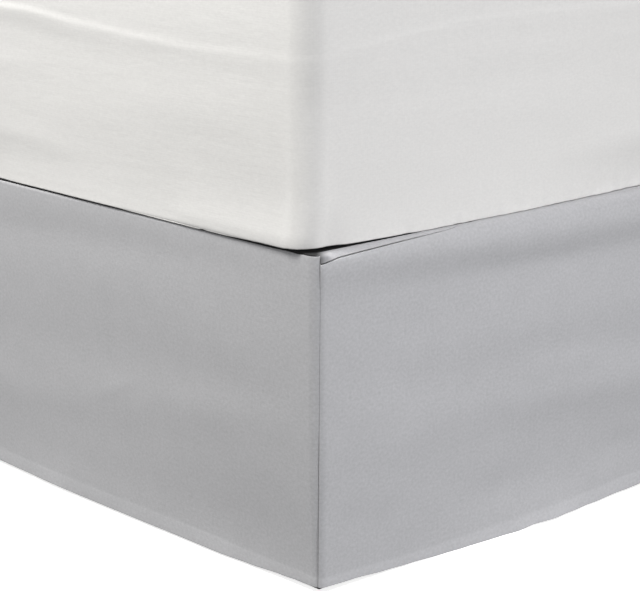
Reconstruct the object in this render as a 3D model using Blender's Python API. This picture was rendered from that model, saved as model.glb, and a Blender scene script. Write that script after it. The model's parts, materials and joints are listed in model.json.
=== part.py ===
"""Bed skirt on a plain queen-size bed.

The skirt is a deck panel that lies between the base and the mattress, and three
drop panels that hang from its foot edge and its two side edges. The corners at the
foot are split, and the head side has no drop. The bed is a padded base on six legs
with a mattress on top.

Metres. +Z is up, +Y points to the head of the bed, and the floor is at Z = 0.
"""

import math
from collections import namedtuple

import bmesh
import bpy
from mathutils import Vector

# Gap that touching pieces keep between their faces.
TOUCH_GAP = 0.0003

# Legs.
LEG_HEIGHT = 0.152
LEG_TOP_RADIUS = 0.027
LEG_FOOT_RADIUS = 0.021
LEG_X = 0.66
LEG_ROWS_Y = (-0.90, 0.0, 0.90)

# Padded base.
BASE_WIDTH = 1.508
BASE_LENGTH = 2.018
BASE_HEIGHT = 0.2286
BASE_CORNER_RADIUS = 0.030
BASE_EDGE_RADIUS = 0.013

# Mattress. It lies a little toward the foot and toward the left side.
MATTRESS_WIDTH = 1.511
MATTRESS_LENGTH = 2.020
MATTRESS_HEIGHT = 0.330
MATTRESS_CORNER_RADIUS = 0.030
MATTRESS_SHIFT = Vector((-0.0089, -0.0061, 0.0))
MATTRESS_CORNER_LIFT = 0.0070
MATTRESS_LIFT_REACH = 0.16
MATTRESS_SIDE_POINTS = (0.02, 0.045, 0.08, 0.13)

# Skirt cloth.
CLOTH = 0.0012
HEM = 0.0024
HEM_DEPTH = 0.016
SIDE_HEM_WIDTH = 0.018
HEM_STEP = 0.0005
DROP = 0.381
EDGE_ROLL = 0.0080
CORNER_RADIUS = 0.0125
CLEAR_OF_BASE = 0.0034
SEAM_INSET = 0.0015
SPLIT_HALF_GAP = 0.0012
DECK_SPLIT_HALF_GAP = 0.0001
SPLIT_COLUMNS = (0.0, 0.0035, 0.0070, 0.0105, SIDE_HEM_WIDTH)
HANG_OUT = 0.0008
HANG_REACH = 0.026
FLARE_HEIGHT = 0.062
COLUMN_STEP = 0.045
DROP_ROWS = 16
ROLL_ROWS = 5
ROLL_MARGIN = 0.004
SEAM_ROW = 0.001
DECK_BORDER = 0.0015
DECK_BORDER_ROWS = 5

# Heights of the layers.
BASE_BOTTOM = LEG_HEIGHT + TOUCH_GAP
BASE_TOP = BASE_BOTTOM + BASE_HEIGHT
DECK_TOP = BASE_TOP + TOUCH_GAP + CLOTH
MATTRESS_BOTTOM = DECK_TOP + TOUCH_GAP

# Plan of the skirt's outer face.
RIM_X = BASE_WIDTH / 2 + CLEAR_OF_BASE + CLOTH
RIM_Y = BASE_LENGTH / 2 + CLEAR_OF_BASE + CLOTH
HEAD_Y = BASE_LENGTH / 2
HALF_ARC = CORNER_RADIUS * math.pi / 4
FOOT_RIM = 2 * (RIM_X - CORNER_RADIUS + HALF_ARC)
SIDE_RIM = HALF_ARC + RIM_Y - CORNER_RADIUS + HEAD_Y
ROLL_END = EDGE_ROLL * math.pi / 2
ROLL_STOP = ROLL_END + ROLL_MARGIN
HEM_LINE = ROLL_END + DROP - EDGE_ROLL

# Bottom edge of each drop: how far it rises above its even line, just off the floor,
# and how far the cloth above it flares out. Along runs from the right corner on the
# foot drop, and from the foot corner on the side drops.
HemPoint = namedtuple("HemPoint", "along rise flare")
HEM_EDGE = {
    "foot": (
        HemPoint(0.000, 0.0036, 0.0),
        HemPoint(0.030, 0.0034, 0.0),
        HemPoint(0.060, 0.0026, 0.0002),
        HemPoint(0.115, 0.0012, 0.0014),
        HemPoint(0.165, 0.0014, 0.0033),
        HemPoint(0.260, 0.0018, 0.0024),
        HemPoint(0.420, 0.0022, 0.0017),
        HemPoint(0.490, 0.0031, 0.0035),
        HemPoint(0.560, 0.0033, 0.0022),
        HemPoint(0.650, 0.0037, 0.0014),
        HemPoint(1.00, -0.0008, 0.0050),
        HemPoint(1.30, 0.0008, 0.0024),
        HemPoint(1.51, 0.0006, 0.0),
    ),
    "right": (
        HemPoint(0.000, 0.0034, 0.0),
        HemPoint(0.050, 0.0026, 0.0),
        HemPoint(0.100, 0.0011, 0.0),
        HemPoint(0.135, 0.0004, 0.0),
        HemPoint(0.190, -0.0005, 0.0020),
        HemPoint(0.220, -0.0005, 0.0038),
        HemPoint(0.280, -0.0004, 0.0061),
        HemPoint(0.310, -0.0002, 0.0084),
        HemPoint(0.335, 0.0003, 0.0088),
        HemPoint(0.368, 0.0011, 0.0134),
        HemPoint(0.400, 0.0006, 0.0094),
        HemPoint(0.440, 0.0003, 0.0052),
        HemPoint(0.505, 0.0013, 0.0017),
        HemPoint(0.560, 0.0024, 0.0),
        HemPoint(0.640, 0.0012, 0.0012),
        HemPoint(0.95, -0.0006, 0.0060),
        HemPoint(1.40, 0.0010, 0.0030),
        HemPoint(2.02, 0.0004, 0.0020),
    ),
    "left": (
        HemPoint(0.00, 0.0010, 0.0),
        HemPoint(0.45, -0.0008, 0.0070),
        HemPoint(1.00, 0.0008, 0.0020),
        HemPoint(1.50, -0.0008, 0.0080),
        HemPoint(2.02, 0.0006, 0.0020),
    ),
}

# The seam between deck and drop lies inside the top edge. Near the foot of the right
# side the deck is pulled out over the edge, and from there to the head the drop is
# pulled in, under the mattress.
SeamPoint = namedtuple("SeamPoint", "along down")
PULLED_SEAM = (
    SeamPoint(0.000, 0.0146),
    SeamPoint(0.016, 0.0126),
    SeamPoint(0.028, 0.0107),
    SeamPoint(0.063, 0.0092),
    SeamPoint(0.124, 0.0071),
    SeamPoint(0.200, 0.0048),
    SeamPoint(0.310, -0.0160),
)

# Soft folds. Down is measured from the top edge, length and height are how far the
# fold reaches each way, lean turns it so that it drops away from the corner, and
# rise is how far the cloth stands out, or in where it is below zero.
Fold = namedtuple("Fold", "along down length height lean rise")
FOLDS = {
    "foot": (
        Fold(0.42, 0.054, 0.340, 0.020, 3, -0.0010),
        Fold(0.46, 0.104, 0.300, 0.032, 2, 0.0010),
        Fold(0.16, 0.128, 0.100, 0.040, -2, 0.0014),
        Fold(0.44, 0.190, 0.260, 0.034, 3, -0.0012),
        Fold(0.46, 0.262, 0.220, 0.030, 8, 0.0012),
        Fold(0.355, 0.226, 0.050, 0.010, 24, 0.0006),
        Fold(0.17, 0.214, 0.120, 0.026, 5, 0.0012),
        Fold(0.09, 0.345, 0.120, 0.060, 0, -0.0018),
        Fold(0.61, 0.262, 0.060, 0.020, -20, 0.0010),
        Fold(0.42, 0.338, 0.240, 0.022, 1, -0.0014),
        Fold(0.95, 0.150, 0.240, 0.040, -3, 0.0018),
        Fold(1.12, 0.270, 0.220, 0.045, 4, 0.0020),
        Fold(1.36, 0.190, 0.120, 0.050, -8, 0.0016),
    ),
    "right": (
        Fold(0.36, 0.030, 0.340, 0.020, 2, 0.0048),
        Fold(0.36, 0.066, 0.300, 0.018, 2, -0.0012),
        Fold(0.38, 0.140, 0.280, 0.046, 2, 0.0050),
        Fold(0.44, 0.234, 0.220, 0.032, 4, 0.0064),
        Fold(0.11, 0.232, 0.100, 0.046, -2, 0.0050),
        Fold(0.16, 0.104, 0.080, 0.030, 0, -0.0012),
        Fold(0.48, 0.322, 0.200, 0.026, 4, -0.0016),
        Fold(0.90, 0.120, 0.240, 0.036, -2, 0.0020),
        Fold(1.05, 0.250, 0.260, 0.044, 3, 0.0022),
        Fold(1.48, 0.160, 0.220, 0.040, 3, 0.0018),
        Fold(1.70, 0.280, 0.200, 0.046, -4, 0.0020),
    ),
    "left": (
        Fold(0.26, 0.140, 0.240, 0.032, 3, 0.0022),
        Fold(0.40, 0.260, 0.220, 0.040, -4, 0.0020),
        Fold(0.80, 0.180, 0.260, 0.042, 2, 0.0020),
        Fold(1.15, 0.290, 0.200, 0.040, 5, 0.0018),
        Fold(1.40, 0.130, 0.240, 0.036, -3, 0.0022),
        Fold(1.80, 0.230, 0.180, 0.044, 2, 0.0018),
    ),
}
MOST_INWARD = -0.0012

# Plan corners of the base and the mattress.
CORNER_SEGMENTS = 6
LEAST_RADIUS = 0.008

# Outline of a padded box at one height: how far it lies inside the side faces, its
# height above the underside, and how much higher it is at the corners.
Ring = namedtuple("Ring", "inset height lift")

# Rings of the mattress: a crisp lower edge that stands a little proud and is lifted at
# the corners, sides with a low ridge round them, and a wide rounded top edge.
MATTRESS_RINGS = (
    Ring(0.1450, 0.0000, 0.0),
    Ring(0.0060, 0.0000, MATTRESS_CORNER_LIFT),
    Ring(0.0016, 0.0006, MATTRESS_CORNER_LIFT),
    Ring(0.0000, 0.0030, MATTRESS_CORNER_LIFT),
    Ring(0.0012, 0.0150, MATTRESS_CORNER_LIFT),
    Ring(0.0034, 0.0500, 0.0),
    Ring(0.0038, 0.1000, 0.0),
    Ring(0.0036, 0.1950, 0.0),
    Ring(0.0018, 0.2080, 0.0),
    Ring(0.0036, 0.2200, 0.0),
    Ring(0.0038, 0.2750, 0.0),
    Ring(0.0080, 0.3020, 0.0),
    Ring(0.0200, 0.3200, 0.0),
    Ring(0.0400, MATTRESS_HEIGHT, 0.0),
)


def clear_scene():
    for obj in list(bpy.data.objects):
        bpy.data.objects.remove(obj)


def make_material(name, color, roughness):
    material = bpy.data.materials.new(name)
    material.use_nodes = True
    shader = material.node_tree.nodes["Principled BSDF"]
    shader.inputs["Base Color"].default_value = (*color, 1.0)
    shader.inputs["Roughness"].default_value = roughness
    shader.inputs["Metallic"].default_value = 0.0
    return material


def add_object(name, bm, material):
    """Closes the bmesh into a smooth-shaded object with its faces pointing out."""
    bmesh.ops.recalc_face_normals(bm, faces=bm.faces)
    mesh = bpy.data.meshes.new(name)
    bm.to_mesh(mesh)
    bm.free()
    mesh.materials.append(material)
    mesh.shade_smooth()
    mesh.set_sharp_from_angle(angle=math.radians(35))
    obj = bpy.data.objects.new(name, mesh)
    bpy.context.collection.objects.link(obj)
    return obj


def between(start, end, part):
    return start + (end - start) * part


def ease(part):
    """A smooth step from 0 to 1."""
    part = min(max(part, 0.0), 1.0)
    return part * part * (3 - 2 * part)


def along_table(points, along, column):
    """One column of a table, joined by straight lines over its along column."""
    values = [(point.along, getattr(point, column)) for point in points]
    if along <= values[0][0]:
        return values[0][1]
    for low, high in zip(values, values[1:]):
        if along <= high[0]:
            return between(low[1], high[1], (along - low[0]) / (high[0] - low[0]))
    return values[-1][1]


def rim_point(rim):
    """Plan point and outward direction on the skirt's outer face.

    Rim is the length from the split in the front right corner, positive along the
    right side and negative along the foot and then the left side.
    """
    mirrored = rim < -FOOT_RIM / 2
    if mirrored:
        rim = -FOOT_RIM - rim
    center = Vector((RIM_X - CORNER_RADIUS, CORNER_RADIUS - RIM_Y, 0.0))
    turn = min(max(rim, -HALF_ARC), HALF_ARC) / CORNER_RADIUS - math.pi / 4
    outward = Vector((math.cos(turn), math.sin(turn), 0.0))
    point = center + outward * CORNER_RADIUS
    if rim > HALF_ARC:
        point.y += rim - HALF_ARC
    elif rim < -HALF_ARC:
        point.x += rim + HALF_ARC
    if mirrored:
        point.x = -point.x
        outward.x = -outward.x
    return point, outward


def panel_of(rim):
    """The drop that holds this rim length, and the distance from that drop's corner."""
    if rim >= 0:
        return "right", rim
    if rim >= -FOOT_RIM:
        return "foot", -rim
    return "left", -FOOT_RIM - rim


def fold_height(rim, down):
    panel, along = panel_of(rim)
    height = 0.0
    for fold in FOLDS[panel]:
        lean = math.radians(fold.lean)
        across = along - fold.along
        below = down - fold.down
        lengthwise = (across * math.cos(lean) + below * math.sin(lean)) / fold.length
        crosswise = (below * math.cos(lean) - across * math.sin(lean)) / fold.height
        height += fold.rise * math.exp(-lengthwise**2 - crosswise**2)
    return height


def flare(rim, down):
    """How far the lower part of a drop stands out toward its bottom edge."""
    panel, along = panel_of(rim)
    lower_part = max(1 - (HEM_LINE - down) / FLARE_HEIGHT, 0.0)
    return along_table(HEM_EDGE[panel], along, "flare") * lower_part**2


def cloth_point(rim, down, inward):
    """A point of the skirt, down the cloth from the top edge and inward through it."""
    plan, outward = rim_point(rim)
    turn = min(max(down / EDGE_ROLL, 0.0), math.pi / 2)
    normal = outward * math.sin(turn) + Vector((0.0, 0.0, math.cos(turn)))
    point = plan - outward * EDGE_ROLL + normal * EDGE_ROLL
    point.z += DECK_TOP - EDGE_ROLL
    if down < 0:
        point += outward * down
    if down > ROLL_END:
        point.z -= down - ROLL_END
    if down > 0:
        stand_out = (HANG_OUT + fold_height(rim, down)) * ease(down / HANG_REACH)
        stand_out += flare(rim, down)
        point += outward * max(stand_out, MOST_INWARD)
    return point - normal * inward


def seam_down(rim):
    panel, along = panel_of(rim)
    if panel == "right":
        return along_table(PULLED_SEAM, along, "down")
    return -SEAM_INSET


def drop_column(rim, edge_hem):
    """One column of a drop, seam to bottom edge: pairs of length down and thickness.

    A side hem is pressed flat toward the seam, where it lies on the base.
    """
    panel, along = panel_of(rim)
    body = HEM if edge_hem else CLOTH
    seam = seam_down(rim) + TOUCH_GAP / 2
    bottom = HEM_LINE - along_table(HEM_EDGE[panel], along, "rise")
    hem_top = bottom - HEM_DEPTH
    roll_start = max(seam + SEAM_ROW, 0.0)
    column = [(seam, CLOTH)]
    for k in range(ROLL_ROWS):
        part = k / ROLL_ROWS
        column.append((between(roll_start, ROLL_STOP, part), between(CLOTH, body, part)))
    column += [
        (between(ROLL_STOP, hem_top, k / DROP_ROWS), body)
        for k in range(DROP_ROWS + 1)
    ]
    column += [(hem_top + HEM_STEP, HEM), (bottom, HEM)]
    return column


def drop_rims(start, end, is_foot):
    """Rim lengths of a drop's columns, each with whether it lies in a side hem."""
    way = 1 if end > start else -1
    side_hem = [(offset, True) for offset in SPLIT_COLUMNS]
    hem_end = (SIDE_HEM_WIDTH + HEM_STEP, False)
    near = [*side_hem, hem_end]
    far = near if is_foot else [side_hem[0], side_hem[-1], hem_end]
    length = abs(end - start)
    first = near[-1][0]
    last = length - far[-1][0]
    count = round((last - first) / COLUMN_STEP)
    middle = [(between(first, last, k / count), False) for k in range(1, count)]
    offsets = near + middle + [(length - offset, hem) for offset, hem in reversed(far)]
    return [(start + way * offset, hem) for offset, hem in offsets]


def add_grid(bm, columns):
    """Vertices of a grid and the faces between them. Returns the vertices by column."""
    verts = [[bm.verts.new(point) for point in column] for column in columns]
    for left, right in zip(verts, verts[1:]):
        for k in range(len(left) - 1):
            bm.faces.new((left[k], left[k + 1], right[k + 1], right[k]))
    return verts


def join_edges(bm, outer, inner):
    """Faces between two matching rows of vertices."""
    for k in range(len(outer) - 1):
        bm.faces.new((outer[k], outer[k + 1], inner[k + 1], inner[k]))


def add_drop(name, start, end, is_foot, material):
    outer_points = []
    inner_points = []
    for rim, edge_hem in drop_rims(start, end, is_foot):
        column = drop_column(rim, edge_hem)
        outer_points.append([cloth_point(rim, down, 0.0) for down, _ in column])
        inner_points.append([cloth_point(rim, down, thick) for down, thick in column])
    bm = bmesh.new()
    outer = add_grid(bm, outer_points)
    inner = add_grid(bm, inner_points)
    join_edges(bm, outer[0], inner[0])
    join_edges(bm, outer[-1], inner[-1])
    for row in (0, -1):
        join_edges(bm, [column[row] for column in outer], [column[row] for column in inner])
    return add_object(name, bm, material)


def deck_rims():
    """Rim lengths of the deck's border, from the left head end to the right one.

    They are those of the drops' columns, so that both edges of the seam match.
    """
    foot_end = FOOT_RIM - SPLIT_HALF_GAP
    side = [rim for rim, _ in drop_rims(SPLIT_HALF_GAP, SIDE_RIM, False)]
    foot = [rim for rim, _ in drop_rims(SPLIT_HALF_GAP, foot_end, True)]
    split = DECK_SPLIT_HALF_GAP
    left = [-FOOT_RIM - rim for rim in reversed(side)] + [-FOOT_RIM - split]
    foot = [-FOOT_RIM + split] + [-rim for rim in reversed(foot)] + [-split]
    return left + foot + [split] + side


def add_deck(name, material):
    outer_points = []
    inner_points = []
    for rim in deck_rims():
        seam = seam_down(rim) - TOUCH_GAP / 2
        border = min(seam, -SEAM_INSET) - DECK_BORDER
        downs = [
            between(border, seam, k / DECK_BORDER_ROWS)
            for k in range(DECK_BORDER_ROWS + 1)
        ]
        outer_points.append([cloth_point(rim, down, 0.0) for down in downs])
        inner_points.append([cloth_point(rim, down, CLOTH) for down in downs])
    bm = bmesh.new()
    outer = add_grid(bm, outer_points)
    inner = add_grid(bm, inner_points)
    join_edges(bm, outer[0], inner[0])
    join_edges(bm, outer[-1], inner[-1])
    join_edges(bm, [column[-1] for column in outer], [column[-1] for column in inner])
    top_loop = [column[0] for column in outer]
    bottom_loop = [column[0] for column in inner]
    join_edges(bm, (top_loop[0], top_loop[-1]), (bottom_loop[0], bottom_loop[-1]))
    bm.faces.new(top_loop)
    bm.faces.new(bottom_loop)
    return add_object(name, bm, material)


def edge_rings(radius, height, rows, lift):
    """Rings up a box from its rounded bottom edge to its rounded top edge."""
    turns = [math.pi / 2 * k / rows for k in range(rows + 1)]
    bottom = [
        Ring(radius * (1 - math.sin(turn)), radius * (1 - math.cos(turn)), lift)
        for turn in turns
    ]
    top = [Ring(ring.inset, height - ring.height, 0.0) for ring in reversed(bottom)]
    return bottom + top


def corner_arc(width, length, radius, turn_start):
    """Plan points round one corner of a rounded box, turning counterclockwise."""
    middle = turn_start + math.pi / 4
    center = Vector(
        (
            math.copysign(width / 2 - radius, math.cos(middle)),
            math.copysign(length / 2 - radius, math.sin(middle)),
            0.0,
        )
    )
    turns = [
        turn_start + math.pi / 2 * k / CORNER_SEGMENTS
        for k in range(CORNER_SEGMENTS + 1)
    ]
    return [
        center + Vector((math.cos(turn), math.sin(turn), 0.0)) * radius
        for turn in turns
    ]


def side_points(start, end, offsets):
    """Points on the straight side between two corners, near both of its ends."""
    length = (end - start).length
    places = [*offsets, *(length - offset for offset in reversed(offsets))]
    return [start.lerp(end, place / length) for place in places]


def box_outline(width, length, radius, inset, offsets):
    """The plan outline of a rounded box, shrunk by inset."""
    inner_radius = max(radius - inset, LEAST_RADIUS)
    corners = [
        corner_arc(width - 2 * inset, length - 2 * inset, inner_radius, start)
        for start in (-math.pi / 2, 0.0, math.pi / 2, math.pi)
    ]
    outline = []
    for here, after in zip(corners, corners[1:] + corners[:1]):
        outline += here
        outline += side_points(here[-1], after[0], offsets)
    return outline


def corner_nearness(point, width, length, reach):
    """1 at the nearest corner of the box, falling to 0 at reach from it."""
    away = Vector((width / 2 - abs(point.x), length / 2 - abs(point.y)))
    return max(1.0 - away.length / reach, 0.0) ** 2


def add_padded_box(name, width, length, radius, rings, offsets, origin, material):
    bm = bmesh.new()
    loops = []
    for ring in rings:
        loop = []
        for point in box_outline(width, length, radius, ring.inset, offsets):
            near = corner_nearness(point, width, length, MATTRESS_LIFT_REACH)
            height = Vector((0.0, 0.0, ring.height + ring.lift * near))
            loop.append(bm.verts.new(origin + point + height))
        loops.append(loop)
    for lower, upper in zip(loops, loops[1:]):
        join_edges(bm, lower + lower[:1], upper + upper[:1])
    bm.faces.new(loops[0])
    bm.faces.new(loops[-1])
    return add_object(name, bm, material)


def add_base(material):
    rings = edge_rings(BASE_EDGE_RADIUS, BASE_HEIGHT, 4, 0.0)
    origin = Vector((0.0, 0.0, BASE_BOTTOM))
    add_padded_box(
        "bed_base",
        BASE_WIDTH,
        BASE_LENGTH,
        BASE_CORNER_RADIUS,
        rings,
        (),
        origin,
        material,
    )


def add_mattress(material):
    add_padded_box(
        "mattress",
        MATTRESS_WIDTH,
        MATTRESS_LENGTH,
        MATTRESS_CORNER_RADIUS,
        MATTRESS_RINGS,
        MATTRESS_SIDE_POINTS,
        MATTRESS_SHIFT + Vector((0.0, 0.0, MATTRESS_BOTTOM)),
        material,
    )


def add_legs(material):
    number = 0
    for y in LEG_ROWS_Y:
        for x in (-LEG_X, LEG_X):
            number += 1
            bm = bmesh.new()
            bmesh.ops.create_cone(
                bm,
                cap_ends=True,
                segments=28,
                radius1=LEG_FOOT_RADIUS,
                radius2=LEG_TOP_RADIUS,
                depth=LEG_HEIGHT,
            )
            bmesh.ops.translate(bm, vec=(0.0, 0.0, LEG_HEIGHT / 2), verts=bm.verts)
            leg = add_object(f"leg_{number}", bm, material)
            leg.location = (x, y, 0.0)


def main():
    clear_scene()
    skirt_cloth = make_material("skirt_cloth", (0.40, 0.40, 0.41), 0.9)
    mattress_cover = make_material("mattress_cover", (0.80, 0.80, 0.78), 0.85)
    base_cloth = make_material("base_cloth", (0.62, 0.61, 0.58), 0.9)
    leg_wood = make_material("leg_wood", (0.09, 0.06, 0.04), 0.5)
    add_legs(leg_wood)
    add_base(base_cloth)
    add_deck("skirt_deck", skirt_cloth)
    foot_start = -SPLIT_HALF_GAP
    foot_end = -FOOT_RIM + SPLIT_HALF_GAP
    left_start = -FOOT_RIM - SPLIT_HALF_GAP
    left_end = -FOOT_RIM - SIDE_RIM
    add_drop("drop_foot", foot_start, foot_end, True, skirt_cloth)
    add_drop("drop_right", SPLIT_HALF_GAP, SIDE_RIM, False, skirt_cloth)
    add_drop("drop_left", left_start, left_end, False, skirt_cloth)
    add_mattress(mattress_cover)


main()
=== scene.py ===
import json
import math
from collections import namedtuple

import bpy
import numpy as np
from mathutils import Matrix, Vector

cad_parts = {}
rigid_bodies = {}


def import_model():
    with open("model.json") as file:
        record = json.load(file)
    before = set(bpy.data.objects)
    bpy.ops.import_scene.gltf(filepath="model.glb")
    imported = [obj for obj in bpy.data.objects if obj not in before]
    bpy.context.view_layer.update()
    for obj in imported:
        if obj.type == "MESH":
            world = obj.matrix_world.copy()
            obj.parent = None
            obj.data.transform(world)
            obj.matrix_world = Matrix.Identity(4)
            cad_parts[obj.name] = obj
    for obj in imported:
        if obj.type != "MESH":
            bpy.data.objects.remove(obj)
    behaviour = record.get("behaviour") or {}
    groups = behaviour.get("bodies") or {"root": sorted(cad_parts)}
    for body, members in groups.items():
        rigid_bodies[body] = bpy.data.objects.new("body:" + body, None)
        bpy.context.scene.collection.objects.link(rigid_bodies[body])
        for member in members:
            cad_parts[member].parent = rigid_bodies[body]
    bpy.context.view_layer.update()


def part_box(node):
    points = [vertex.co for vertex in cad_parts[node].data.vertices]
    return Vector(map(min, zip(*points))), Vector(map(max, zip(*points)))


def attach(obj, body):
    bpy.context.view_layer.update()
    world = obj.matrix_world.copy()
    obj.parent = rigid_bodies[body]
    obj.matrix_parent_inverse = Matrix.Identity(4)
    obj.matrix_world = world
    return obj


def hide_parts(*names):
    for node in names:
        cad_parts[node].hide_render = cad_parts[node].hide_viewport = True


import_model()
print("frame loaded")

mm = 0.001  # lengths are in metres


def linear(hexColor):
    # sRGB hex to the linear color, with its alpha, that the sockets take
    channels = [int(hexColor[k : k + 2], 16) / 255 for k in (0, 2, 4)]
    return (*(c / 12.92 if c <= 0.04045 else ((c + 0.055) / 1.055) ** 2.4 for c in channels), 1)


def ease(part):
    # a smooth step from 0 to 1
    part = np.clip(part, 0.0, 1.0)
    return part * part * (3 - 2 * part)


# In every table below, along is in metres and each other length in millimetres
def tableOf(kind, *rows):
    return [kind(*row) for row in rows]


def alongTable(points, column, along):
    # one column of a table, eased from point to point over its along column
    places = np.array([point.along for point in points])
    values = np.array([getattr(point, column) for point in points])
    index = np.clip(np.searchsorted(places, along) - 1, 0, len(places) - 2)
    part = ease((along - places[index]) / (places[index + 1] - places[index]))
    return values[index] + (values[index + 1] - values[index]) * part


def softNoise(x, y, seed):
    # smooth noise from about -1 to 1 on a grid of unit cells, the same on each run
    size = 64
    heights = np.random.default_rng(seed).uniform(-1, 1, (size, size))
    cellX, cellY = np.floor(x).astype(int), np.floor(y).astype(int)
    partX, partY = ease(x - cellX), ease(y - cellY)

    def corner(dx, dy):
        return heights[(cellX + dx) % size, (cellY + dy) % size]

    near = corner(0, 0) + (corner(1, 0) - corner(0, 0)) * partX
    far = corner(0, 1) + (corner(1, 1) - corner(0, 1)) * partX
    return near + (far - near) * partY


Noise = namedtuple("Noise", "depth wide high seed shift", defaults=[0])


def noiseHeight(noise, x, y):
    places = x / (noise.wide * mm) + noise.shift, y / (noise.high * mm)
    return noise.depth * mm * softNoise(*places, noise.seed)


Fold = namedtuple("Fold", "along down length height lean rise")


def foldHeight(folds, along, down):
    # sum of soft ridges, or troughs where the rise is below zero
    height = np.zeros(np.broadcast(along, down).shape)
    for fold in folds:
        lean = math.radians(fold.lean)
        across, below = along - fold.along, down - fold.down * mm
        lengthwise = (across * math.cos(lean) + below * math.sin(lean)) / (fold.length * mm)
        crosswise = (below * math.cos(lean) - across * math.sin(lean)) / (fold.height * mm)
        height += fold.rise * mm * np.exp(-(lengthwise**2) - crosswise**2)
    return height


def spaced(start, end, step):
    # even places from start to end, about a step apart
    count = max(1, round(abs(end - start) / step))
    return list(np.linspace(start, end, count + 1))


def joinPlaces(*runs):
    # several runs of places one after another, each starting where the last one ended
    places = list(runs[0])
    for run in runs[1:]:
        places += list(run)[1:]
    return np.array(places)


def gridFaces(index, flip=False):
    # faces of a grid of vertices, from their numbers
    quads = [index[:-1, :-1], index[:-1, 1:], index[1:, 1:], index[1:, :-1]]
    faces = np.stack([quad.ravel() for quad in quads], axis=1)
    return (faces[:, ::-1] if flip else faces).tolist()


def stripFaces(outer, inner):
    # faces between two matching rows of vertices
    return [(outer[k], outer[k + 1], inner[k + 1], inner[k]) for k in range(len(outer) - 1)]


def addMesh(name, points, faces, material, uvs=None):
    mesh = bpy.data.meshes.new(name)
    mesh.from_pydata(points.tolist(), [], faces)
    if uvs is not None:
        layer = mesh.uv_layers.new(name="cloth")
        corners = np.empty(len(mesh.loops), dtype=np.int32)
        mesh.loops.foreach_get("vertex_index", corners)
        layer.data.foreach_set("uv", uvs[corners].astype(np.float32).ravel())
    mesh.materials.append(material)
    piece = bpy.data.objects.new(name, mesh)
    bpy.context.collection.objects.link(piece)
    bpy.ops.object.select_all(action="DESELECT")
    piece.select_set(True)
    bpy.context.view_layer.objects.active = piece
    bpy.ops.object.mode_set(mode="EDIT")
    bpy.ops.mesh.select_all(action="SELECT")
    bpy.ops.mesh.normals_make_consistent(inside=False)
    bpy.ops.object.mode_set(mode="OBJECT")
    bpy.ops.object.shade_smooth_by_angle(angle=math.radians(50))
    return piece


def standFor(piece, node):
    # the piece rides with the bed and takes the place of one node
    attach(piece, "root")
    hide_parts(node)


def addNode(tree, kind, settings=(), values=(), links=()):
    node = tree.nodes.new(kind)
    for name, value in dict(settings).items():
        setattr(node, name, value)
    for name, value in dict(values).items():
        node.inputs[name].default_value = value
    for name, source in dict(links).items():
        tree.links.new(source, node.inputs[name])
    return node


def newMaterial(name):
    material = bpy.data.materials.new(name)
    material.use_nodes = True
    return material, material.node_tree, material.node_tree.nodes["Principled BSDF"]


# The camera is set out from the skirt's front corner, where foot and right side meet
view = {
    "azimuth": math.radians(48.33),
    "distance": 2.205,
    "aside": 0.004,
    "height": 0.888,
    "pitch": math.radians(13.99),
    "roll": math.radians(-0.3),
    "lens": 120.5,
}


def addCamera(corner):
    azimuth, pitch, roll = view["azimuth"], view["pitch"], view["roll"]
    back = Vector((math.sin(azimuth), -math.cos(azimuth), 0.0))
    right = Vector((math.cos(azimuth), math.sin(azimuth), 0.0))
    place = corner + back * view["distance"] + right * view["aside"]
    place.z += view["height"]
    forward = Vector((0, 0, -math.sin(pitch))) - back * math.cos(pitch)
    up = right.cross(forward)
    rightTurned = right * math.cos(roll) + up * math.sin(roll)
    upTurned = up * math.cos(roll) - right * math.sin(roll)
    axes = Matrix((rightTurned, upTurned, -forward)).transposed()
    camera = bpy.data.objects.new("camera", bpy.data.cameras.new("camera"))
    camera.matrix_world = Matrix.Translation(place) @ axes.to_4x4()
    camera.data.lens = view["lens"]
    camera.data.sensor_width = 36
    camera.data.clip_end = 100
    bpy.context.collection.objects.link(camera)
    bpy.context.scene.camera = camera


# Brushed microfibre, woven plain and dyed: matt, very smooth, with a faint soft nap
microfibre = {
    "color": "949496",
    "lightColor": "C9C9CC",
    "roughness": 0.9,
    "sheen": 0.08,
    "sheenRoughness": 0.5,
    "thread": 2.4 * mm,  # the real thread is about 0.3 mm, drawn as coarse as it can show
    "threadDepth": 0.012 * mm,
    "crumple": (26 * mm, 9 * mm),
    "crumpleDepth": 0.10 * mm,
    "mottle": 36 * mm,
    "mottleShare": 0.16,
    "grain": (3.8 * mm, 3.3 * mm),  # slubs of single threads, drawn as coarse as they show
    "grainShare": 0.55,
    "grainDepth": 0.10 * mm,
    # painted highlight on the hem band, together with its doubled cloth
    "hemLayerAndHighlight": 0.09,
}

# Cotton percale, washed and stretched over the mattress: matt, crisp, a little crumpled
percale = {
    "color": "CAC9C8",
    "lightColor": "EAE9E7",
    "roughness": 0.9,
    "sheen": 0.04,
    "sheenRoughness": 0.4,
    "thread": 2.6 * mm,  # the real thread is about 0.25 mm, drawn as coarse as it can show
    "threadDepth": 0.012 * mm,
    "crumple": (34 * mm, 6 * mm),
    "crumpleDepth": 0.16 * mm,
    "mottle": 60 * mm,
    "mottleShare": 0.12,
    "grain": (4.6 * mm, 2.6 * mm),
    "grainShare": 0.44,
    "grainDepth": 0.04 * mm,
}

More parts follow.
